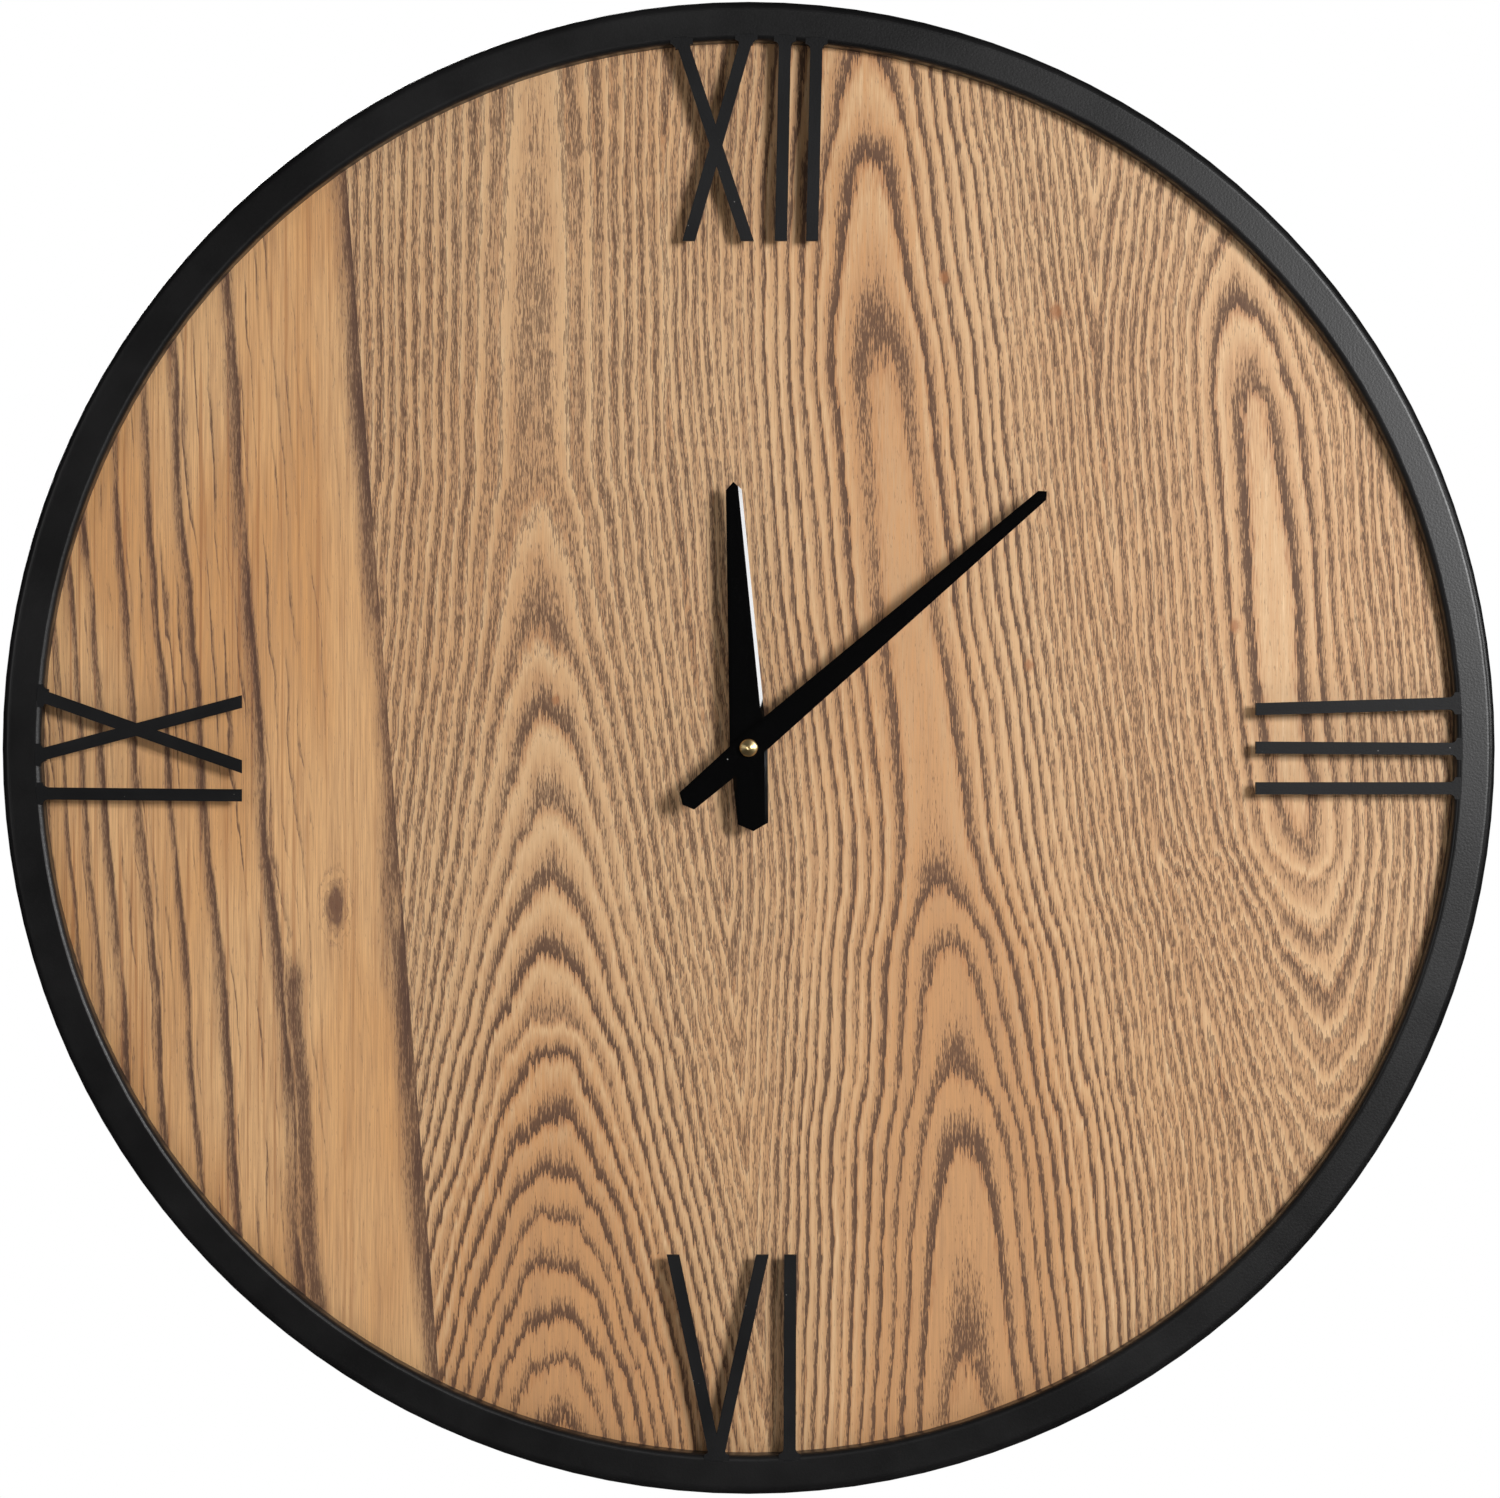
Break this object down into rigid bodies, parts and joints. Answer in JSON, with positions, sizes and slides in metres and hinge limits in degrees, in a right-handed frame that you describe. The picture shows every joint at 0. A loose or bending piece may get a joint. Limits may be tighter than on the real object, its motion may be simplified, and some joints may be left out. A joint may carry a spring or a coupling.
{
  "type": "wall clock",
  "caption": "Round open-dial wall clock with a black steel channel rim, wood veneer dial, welded bar numerals, tapered hands and a battery movement behind the dial.",
  "frame": {"origin": "centre of the whole box: on the arbor's axis, halfway between the wall and the front of the hand nut", "axes": "the dial looks along -Y, the wall is on the +Y side, +Z points to XII and +X to III"},
  "size_m": [0.61, 0.056, 0.61],
  "materials": {
    "rim_paint": "satin black powder coat",
    "numeral_paint": "satin black paint over welded bar",
    "hand_lacquer": "gloss black lacquer",
    "zinc_steel": "zinc plated",
    "board_wood": "fibreboard core",
    "left_veneer": "oiled straight-grained leaf",
    "right_veneer": "oiled leaf with arched grain",
    "back_veneer": "plain backing leaf",
    "rubber": "matt",
    "brass": "polished",
    "case_plastic": "fine moulded texture",
    "gear_plastic": "natural acetal",
    "cell_jacket": "printed jacket, no lettering",
    "contact_steel": "nickel plated spring steel",
    "circuit_green": "solder mask",
    "can_metal": "bright",
    "blob_resin": "potting resin",
    "copper_wire": "enamelled copper wire",
    "lamination": "soft iron sheet",
    "magnet": "sintered magnet",
    "arbor_steel": "turned steel"
  },
  "bodies": {
    "clock": {"rim": "rim_paint", "dial_clips": "rim_paint", "clip_screws": "zinc_steel", "hanger_strap": "zinc_steel", "hanger_screws": "zinc_steel", "twelve_x": "numeral_paint", "twelve_i_left": "numeral_paint", "twelve_i_right": "numeral_paint", "three_i_top": "numeral_paint", "three_i_middle": "numeral_paint", "three_i_bottom": "numeral_paint", "six_v": "numeral_paint", "six_i": "numeral_paint", "nine_x": "numeral_paint", "nine_i": "numeral_paint", "dial_board": "board_wood", "veneer_left": "left_veneer", "veneer_right": "right_veneer", "veneer_back": "back_veneer", "seal_washer": "rubber", "front_washer": "brass", "hex_nut": "brass", "threaded_bush": "brass", "movement_case": "case_plastic", "movement_cover": "case_plastic", "middle_plate": "gear_plastic", "battery": "cell_jacket", "contact_positive": "contact_steel", "contact_negative": "contact_steel", "circuit_board": "circuit_green", "quartz_can": "can_metal", "chip_blob": "blob_resin", "coil_core": "lamination", "coil_bobbin": "gear_plastic", "coil_winding": "copper_wire", "stator": "lamination"},
    "minute": {"minute_hand": "hand_lacquer", "minute_bush": "hand_lacquer", "hand_nut": "brass", "minute_arbor": "arbor_steel", "centre_wheel": "gear_plastic", "friction_washer": "brass", "cannon_pinion": "brass"},
    "hour": {"hour_hand": "hand_lacquer", "hour_collet": "hand_lacquer", "hour_wheel": "gear_plastic"},
    "motion": {"motion_wheel": "gear_plastic"},
    "knob": {"setting_knob": "gear_plastic"},
    "third": {"third_wheel": "gear_plastic"},
    "seconds": {"seconds_wheel": "gear_plastic"},
    "intermediate": {"intermediate_wheel": "gear_plastic"},
    "rotor": {"rotor_magnet": "magnet", "rotor_pinion": "gear_plastic"}
  },
  "joints": [
    {"name": "minute_spin", "type": "hinge", "parent": "clock", "child": "minute", "pos_m": [0, 0, 0], "axis": [0, 1, 0], "continuous": true},
    {"name": "hour_spin", "type": "hinge", "parent": "clock", "child": "hour", "pos_m": [0, 0, 0], "axis": [0, 1, 0], "continuous": true},
    {"name": "motion_spin", "type": "hinge", "parent": "clock", "child": "motion", "pos_m": [0.01159, 0, 0.00311], "axis": [0, 1, 0], "continuous": true},
    {"name": "knob_spin", "type": "hinge", "parent": "clock", "child": "knob", "pos_m": [0.00697, 0, 0.01579], "axis": [0, 1, 0], "continuous": true},
    {"name": "third_spin", "type": "hinge", "parent": "clock", "child": "third", "pos_m": [-0.00998, 0, 0.00576], "axis": [0, 1, 0], "continuous": true},
    {"name": "seconds_spin", "type": "hinge", "parent": "clock", "child": "seconds", "pos_m": [0, 0, 0], "axis": [0, 1, 0], "continuous": true},
    {"name": "intermediate_spin", "type": "hinge", "parent": "clock", "child": "intermediate", "pos_m": [0.0054, 0, 0.00643], "axis": [0, 1, 0], "continuous": true},
    {"name": "rotor_spin", "type": "hinge", "parent": "clock", "child": "rotor", "pos_m": [0.01217, 0, 0.0089], "axis": [0, 1, 0], "continuous": true}
  ],
  "couplings": [
    {"joint": "motion_spin", "follows": "minute_spin", "ratio": -0.33333},
    {"joint": "hour_spin", "follows": "minute_spin", "ratio": 0.083333},
    {"joint": "knob_spin", "follows": "minute_spin", "ratio": 0.66667},
    {"joint": "third_spin", "follows": "minute_spin", "ratio": -8},
    {"joint": "seconds_spin", "follows": "minute_spin", "ratio": 60},
    {"joint": "intermediate_spin", "follows": "minute_spin", "ratio": -360},
    {"joint": "rotor_spin", "follows": "minute_spin", "ratio": 1800}
  ]
}
